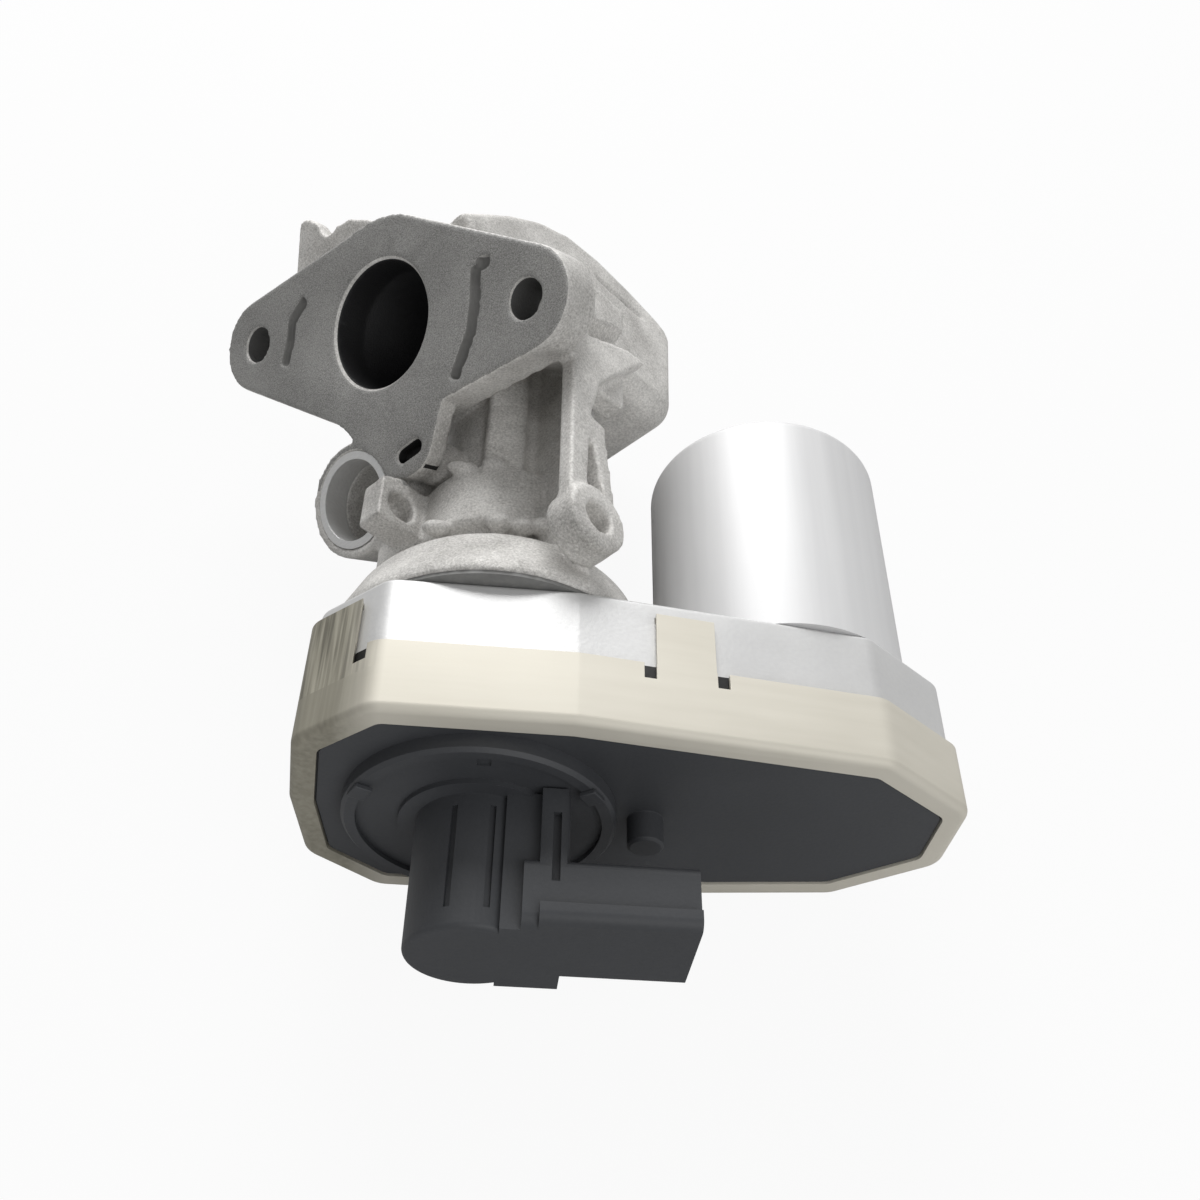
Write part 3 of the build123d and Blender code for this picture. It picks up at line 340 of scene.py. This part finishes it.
def merged_copy(node, name):
    """Copy of a node's mesh with its loose triangles joined up."""
    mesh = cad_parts[node].data.copy()
    mesh.name = name
    mesh.materials.clear()
    shape = bmesh.new()
    shape.from_mesh(mesh)
    bmesh.ops.remove_doubles(shape, verts=shape.verts, dist=0.000002)
    shape.to_mesh(mesh)
    shape.free()
    piece = bpy.data.objects.new(name, mesh)
    bpy.context.scene.collection.objects.link(piece)
    return piece


def applied(piece):
    """Turns a piece's modifiers into its mesh."""
    bpy.context.view_layer.update()
    settled = piece.evaluated_get(bpy.context.evaluated_depsgraph_get())
    mesh = bpy.data.meshes.new_from_object(settled)
    piece.modifiers.clear()
    piece.data = mesh


def add_lumps(piece, lumps):
    """Adds flattened balls that the remesh joins to the casting."""
    shape = bmesh.new()
    shape.from_mesh(piece.data)
    for place, half_sizes in lumps:
        fitted = Matrix.Translation(place) @ Matrix.Diagonal((*half_sizes, 1.0))
        bmesh.ops.create_icosphere(shape, subdivisions=3, radius=1.0, matrix=fitted)
    shape.to_mesh(piece.data)
    shape.free()


def chamfer_port(piece, width):
    """Presses the port's rim down to a cone of the given width."""
    outer = PORT_RADIUS + width
    highest_rim = 0.001
    for vertex in piece.data.vertices:
        height = vertex.co.dot(GAS_AXIS)
        radius = (vertex.co - GAS_AXIS * height).length
        if radius < outer and radius - outer < height < highest_rim:
            vertex.co += GAS_AXIS * (radius - outer - height)


# Lumps of the casting, each with its place and half sizes: one behind the flange's slot, the others under
# and round the neck's collar
LUMPS = (
    ((0.0150, -0.0245, -0.0165), (0.0060, 0.0050, 0.0045)),
    ((0.0291, -0.0470, -0.0089), (0.0030, 0.0021, 0.0020)),
    ((0.0339, -0.0479, -0.0089), (0.0024, 0.0018, 0.0020)),
    ((0.0380, -0.0469, -0.0095), (0.0030, 0.0024, 0.0020)),
    ((0.0205, -0.0310, -0.0105), (0.0034, 0.0016, 0.0016)),
    ((0.0270, -0.0306, -0.0088), (0.0026, 0.0014, 0.0014)),
    ((0.0400, -0.0308, -0.0110), (0.0030, 0.0017, 0.0016)),
    ((0.0165, -0.0465, -0.0125), (0.0030, 0.0018, 0.0018)),
)
CAST_VOXEL = 0.0006
CAST_TRIANGLES = 190000

casting = merged_copy("valve_body", "valve_casting")
add_lumps(casting, LUMPS)
remesh = casting.modifiers.new("skin", "REMESH")
remesh.mode = "VOXEL"
remesh.voxel_size = CAST_VOXEL
remesh.use_smooth_shade = True
rounding = casting.modifiers.new("rounding", "SMOOTH")
rounding.factor = 0.5
rounding.iterations = 3
applied(casting)
thinning = casting.modifiers.new("thinning", "DECIMATE")
thinning.ratio = min(1.0, CAST_TRIANGLES / (2.0 * len(casting.data.polygons)))
applied(casting)
chamfer_port(casting, PORT_CHAMFER)
casting.data.materials.clear()
casting.data.materials.append(sand_cast_finish())
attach(casting, "housing")
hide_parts("valve_body")


# Port ring, seat, plug and valve head
# Turned or pressed steel with fine marks of the tool. Ring, plug and seat are pushed into the casting, head
# and spring cup sit on the stem, and the end plate closes the motor's can.
TURNED_PIECES = (
    "side_port_ring", "top_plug", "valve_seat", "valve_poppet", "spring_retainer", "motor_end_plate")


def machined_finish():
    turned = Finish("machined_steel")
    marks = turned.noise(900.0, 2.0, turned.stretched((1.0, 6.0, 1.0)))
    colour = turned.blend(marks, (0.66, 0.66, 0.655, 1), (0.88, 0.88, 0.87, 1))
    return turned.surface(
        base_color=colour, metallic=0.7, roughness=0.34 + 0.16 * marks,
        normal=turned.bump(marks, 0.15, 0.0001, turned.soft_edges(0.0003)))


def dress(node, material):
    """Gives a node of the construction its finish."""
    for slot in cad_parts[node].material_slots:
        slot.material = material


machined = machined_finish()
for node in TURNED_PIECES:
    dress(node, machined)


# Stem, output gear, shafts, pins and screws
# Hardened steel with a fine ground surface, for what turns, slides or rolls and for the cage beside it.
# The screws share its grey.
GROUND_PIECES = (
    "valve_stem", "output_gear", "guide_cage", "cross_pin", "cam_rollers", "intermediate_pin", "motor_shaft",
    "motor_screws", "body_screws")


def ground_finish():
    ground = Finish("ground_steel")
    marks = ground.noise(1400.0, 2.0, ground.stretched((1.0, 0.2, 1.0)))
    colour = ground.blend(marks, (0.30, 0.30, 0.31, 1), (0.52, 0.52, 0.53, 1))
    return ground.surface(
        base_color=colour, metallic=1.0, roughness=0.18 + 0.14 * marks, normal=ground.soft_edges(0.0003))


ground = ground_finish()
for node in GROUND_PIECES:
    dress(node, ground)


# Return spring
# Cold-drawn wire with a dark grey oiled surface. Its top end sits in the neck and its lower end on the cup on
# the stem, and the valve presses it together as it opens; here it rides with the housing in one shape.
SPRING_CREASE = 60.0


def wire_finish():
    wire = Finish("spring_wire")
    streaks = wire.noise(2000.0, 2.0)
    colour = wire.blend(streaks, (0.10, 0.10, 0.11, 1), (0.22, 0.22, 0.23, 1))
    return wire.surface(base_color=colour, metallic=1.0, roughness=0.3 + 0.15 * streaks)


def shaded_copy(node, name, crease=30.0, bevel=0.0):
    """Copy of a node that is smooth over its round faces and sharp, or slightly rounded, at its edges."""
    piece = merged_copy(node, name)
    shape = bmesh.new()
    shape.from_mesh(piece.data)
    flat = math.radians(1.0)
    bmesh.ops.dissolve_limit(shape, angle_limit=flat, verts=shape.verts, edges=shape.edges)
    for face in shape.faces:
        face.smooth = True
    for edge in shape.edges:
        edge.smooth = edge.is_manifold and edge.calc_face_angle(0.0) < math.radians(crease)
    shape.to_mesh(piece.data)
    shape.free()
    if bevel:
        edges = piece.modifiers.new("edges", "BEVEL")
        edges.width = bevel
        edges.segments = 2
        edges.limit_method = "ANGLE"
        edges.angle_limit = math.radians(crease)
        edges.use_clamp_overlap = True
        applied(piece)
    return piece


coil = shaded_copy("return_spring", "spring_coil", SPRING_CREASE)
coil.data.materials.append(wire_finish())
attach(coil, "housing")
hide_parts("return_spring")
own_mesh(coil)


# Bushes and pinion
# Sintered bronze, warm brown with fine open pores. The bushes are pressed into their seats and the pinion
# onto the motor's shaft.
def bronze_finish():
    bronze = Finish("bronze")
    pores = bronze.noise(2600.0, 2.0)
    colour = bronze.blend(pores, (0.30, 0.20, 0.09, 1), (0.52, 0.37, 0.18, 1))
    return bronze.surface(
        base_color=colour, metallic=0.9, roughness=0.35 + 0.2 * pores,
        normal=bronze.bump(pores, 0.2, 0.0001, bronze.soft_edges(0.0002)))


bronze = bronze_finish()
for node in ("stem_bush", "output_bearing", "motor_bushes", "motor_pinion"):
    dress(node, bronze)


# Seals
# Black moulded rubber, dull, with a faint bloom: the lip seal under the stem's bush and the cord that lies
# between cover and housing.
def rubber_finish():
    rubber = Finish("seal_rubber")
    bloom = rubber.noise(500.0, 3.0)
    colour = rubber.blend(bloom, (0.012, 0.012, 0.012, 1), (0.035, 0.035, 0.035, 1))
    return rubber.surface(
        base_color=colour, roughness=0.6 + 0.25 * bloom, normal=rubber.bump(bloom, 0.2, 0.0001))


rubber = rubber_finish()
for node in ("stem_seal", "cover_seal"):
    dress(node, rubber)


# Body gasket
# Thin steel sheet with a grey coating, stamped out and clamped between the bell's foot and the housing
# by the body's screws.
def gasket_finish():
    coated = Finish("coated_sheet")
    mottle = coated.noise(700.0, 3.0)
    colour = coated.blend(mottle, (0.14, 0.14, 0.14, 1), (0.26, 0.26, 0.25, 1))
    return coated.surface(base_color=colour, metallic=0.2, roughness=0.55 + 0.2 * mottle)


dress("body_gasket", gasket_finish())


# Motor can
# Deep-drawn steel, bright zinc finish, with faint streaks along the draw and a softly rounded closed end.
# Two screws hold the motor to the housing.
def drawn_can_finish():
    can = Finish("drawn_can")
    streaks = can.noise(420.0, 4.0, can.stretched((1.0, 0.03, 1.0)))
    haze = can.noise(35.0, 3.0)
    colour = can.blend(streaks * 0.7 + haze * 0.3, (0.60, 0.60, 0.605, 1), (0.74, 0.74, 0.74, 1))
    return can.surface(
        base_color=colour, metallic=0.2, roughness=0.46 + 0.14 * streaks,
        normal=can.bump(streaks, 0.08, 0.0001))


can = shaded_copy("motor_can", "motor_shell")
can.data.materials.append(drawn_can_finish())
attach(can, "housing")
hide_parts("motor_can")


# Inside the motor and the sensor
# Stacked steel core with enamelled windings and a copper commutator on the shaft, ferrite magnets in the
# can, and brushes of pressed carbon. The sensor's rod and coil and the plug's blades share these finishes.
def core_finish():
    core = Finish("stacked_core")
    sheets = core.node("ShaderNodeTexWave", {"bands_direction": "Y"}, {
        "Vector": core.place, "Scale": 320.0, "Distortion": 0.0}, "Fac")
    colour = core.blend(sheets, (0.05, 0.05, 0.055, 1), (0.20, 0.20, 0.21, 1))
    return core.surface(base_color=colour, metallic=0.8, roughness=0.45 + 0.1 * sheets)


def copper_finish():
    copper = Finish("enamelled_copper")
    turns = copper.noise(900.0, 2.0, copper.stretched((1.0, 3.0, 1.0)))
    colour = copper.blend(turns, (0.36, 0.12, 0.04, 1), (0.66, 0.30, 0.13, 1))
    return copper.surface(
        base_color=colour, metallic=0.9, roughness=0.25 + 0.2 * turns, normal=copper.bump(turns, 0.3, 0.0002))


def magnet_finish():
    magnet = Finish("ferrite")
    grains = magnet.noise(1800.0, 2.0)
    colour = magnet.blend(grains, (0.03, 0.03, 0.032, 1), (0.07, 0.07, 0.075, 1))
    return magnet.surface(base_color=colour, roughness=0.45 + 0.2 * grains)


def carbon_finish():
    carbon = Finish("pressed_carbon")
    grains = carbon.noise(2500.0, 1.0)
    colour = carbon.blend(grains, (0.008, 0.008, 0.009, 1), (0.03, 0.03, 0.032, 1))
    return carbon.surface(base_color=colour, roughness=0.5 + 0.2 * grains)


core_steel = core_finish()
for node in ("armature_core", "sensor_core"):
    dress(node, core_steel)
copper = copper_finish()
for node in ("armature_windings", "commutator", "sensor_coil", "connector_pins"):
    dress(node, copper)
dress("motor_magnets", magnet_finish())
dress("brushes", carbon_finish())


# Inner mouldings
# The double gear between motor and output gear, which turns on its pin, and the plate that carries the
# brushes, both moulded in glass-filled nylon.
def nylon_finish():
    nylon = Finish("filled_nylon")
    flow = nylon.noise(250.0, 3.0)
    colour = nylon.blend(flow, (0.10, 0.09, 0.075, 1), (0.17, 0.155, 0.13, 1))
    return nylon.surface(base_color=colour, roughness=0.4 + 0.15 * flow, normal=nylon.soft_edges(0.0002))


nylon = nylon_finish()
for node in ("intermediate_gear", "brush_holder"):
    dress(node, nylon)


# Gear housing
# Die-cast aluminium, bright and smooth, with a faint ripple of the die. Bell and motor are screwed down
# on it. Its colour is painted near black in the band's three notches, as shade where light doesn't reach it.
HOUSING_BEVEL = 0.0004
NOTCH_X = (0.00745, 0.05685, 0.06985)
NOTCH_HALF = 0.0013
NOTCH_ENDS = (-0.0917, -0.0882)


def die_cast_finish():
    die = Finish("die_cast")
    sideways = die.dot((1.0, 0.0, 0.0))
    up_stem = die.dot((0.0, 1.0, 0.0))
    # Painted shade: near black on the housing inside the band's three notches
    notch_shade = up_stem.between(*NOTCH_ENDS) * sum(sideways.near(notch, NOTCH_HALF) for notch in NOTCH_X)
    flow = die.noise(90.0, 4.0)
    skin = die.noise(1200.0, 2.0)
    colour = die.blend(flow * 0.6 + skin * 0.4, (0.56, 0.56, 0.56, 1), (0.70, 0.70, 0.695, 1))
    colour = die.blend(notch_shade, colour, (0.02, 0.02, 0.02, 1))
    return die.surface(
        base_color=colour, metallic=0.35, roughness=0.38 + 0.15 * flow, normal=die.bump(skin, 0.12, 0.0002))


tray = shaded_copy("gear_housing", "gear_tray", bevel=HOUSING_BEVEL)
tray.data.materials.append(die_cast_finish())
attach(tray, "housing")
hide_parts("gear_housing")


# Retaining frame
# Folded sheet steel with a warm nickel-coloured plating and faint rolling streaks along the band. Its tabs
# hook into the housing. The left end is darker, and more streaked above the fold.
BAND_BEVEL = 0.00025
LEFT_END_X = 0.004
LEFT_END_FADE_X = 0.012
FOLD_Y = -0.094


def plated_sheet_finish():
    sheet = Finish("plated_sheet")
    streaks = sheet.noise(160.0, 4.0, sheet.stretched((0.25, 2.2, 0.25)))
    drawn = sheet.noise(900.0, 3.0, sheet.stretched((1.0, 0.05, 1.0)))
    clouds = sheet.noise(28.0, 3.0)
    on_left = sheet.node("ShaderNodeMapRange", {}, {
        "Value": sheet.dot((1.0, 0.0, 0.0)), "From Min": LEFT_END_FADE_X, "From Max": LEFT_END_X,
        "To Min": 0.0, "To Max": 1.0}, "Result")
    above_fold = sheet.dot((0.0, 1.0, 0.0)) > FOLD_Y
    broad = sheet.blend(streaks * 0.5 + clouds * 0.5, (0.55, 0.52, 0.44, 1), (0.76, 0.73, 0.65, 1))
    left_end_colour = sheet.ramp(
        0.5 + (drawn - 0.5) * (0.25 + 0.9 * above_fold),
        (0.34, (0.17, 0.16, 0.125)), (0.70, (0.46, 0.435, 0.355)))
    colour = sheet.blend(on_left, broad, left_end_colour)
    return sheet.surface(
        base_color=colour, metallic=0.3, roughness=0.52 + 0.14 * streaks,
        normal=sheet.bump(streaks, 0.08, 0.0002))


band = shaded_copy("retaining_frame", "steel_band", bevel=BAND_BEVEL)
band.data.materials.append(plated_sheet_finish())
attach(band, "housing")
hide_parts("retaining_frame")


# Cover, sensor housing and clips
# Moulded black glass-filled plastic, satin, with a fine grain. The band holds the cover on the housing, and
# the clips hold the sensor's ring flange on the cover.
MOULDINGS = (
    ("gear_cover", "cover_plate", 0.0003),
    ("sensor_housing", "sensor_body", 0.0004),
    ("sensor_clips", "ring_clips", 0.0002),
)


def black_moulding_finish():
    black = Finish("black_moulding")
    grain = black.noise(1300.0, 2.0)
    flow = black.noise(60.0, 4.0)
    colour = black.blend(flow * 0.7 + grain * 0.3, (0.030, 0.032, 0.036, 1), (0.058, 0.061, 0.067, 1))
    return black.surface(
        base_color=colour, roughness=0.48 + 0.16 * flow, normal=black.bump(grain, 0.12, 0.0002))


black = black_moulding_finish()
for node, name, bevel in MOULDINGS:
    moulding = shaded_copy(node, name, bevel=bevel)
    moulding.data.materials.append(black)
    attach(moulding, "housing")
    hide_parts(node)
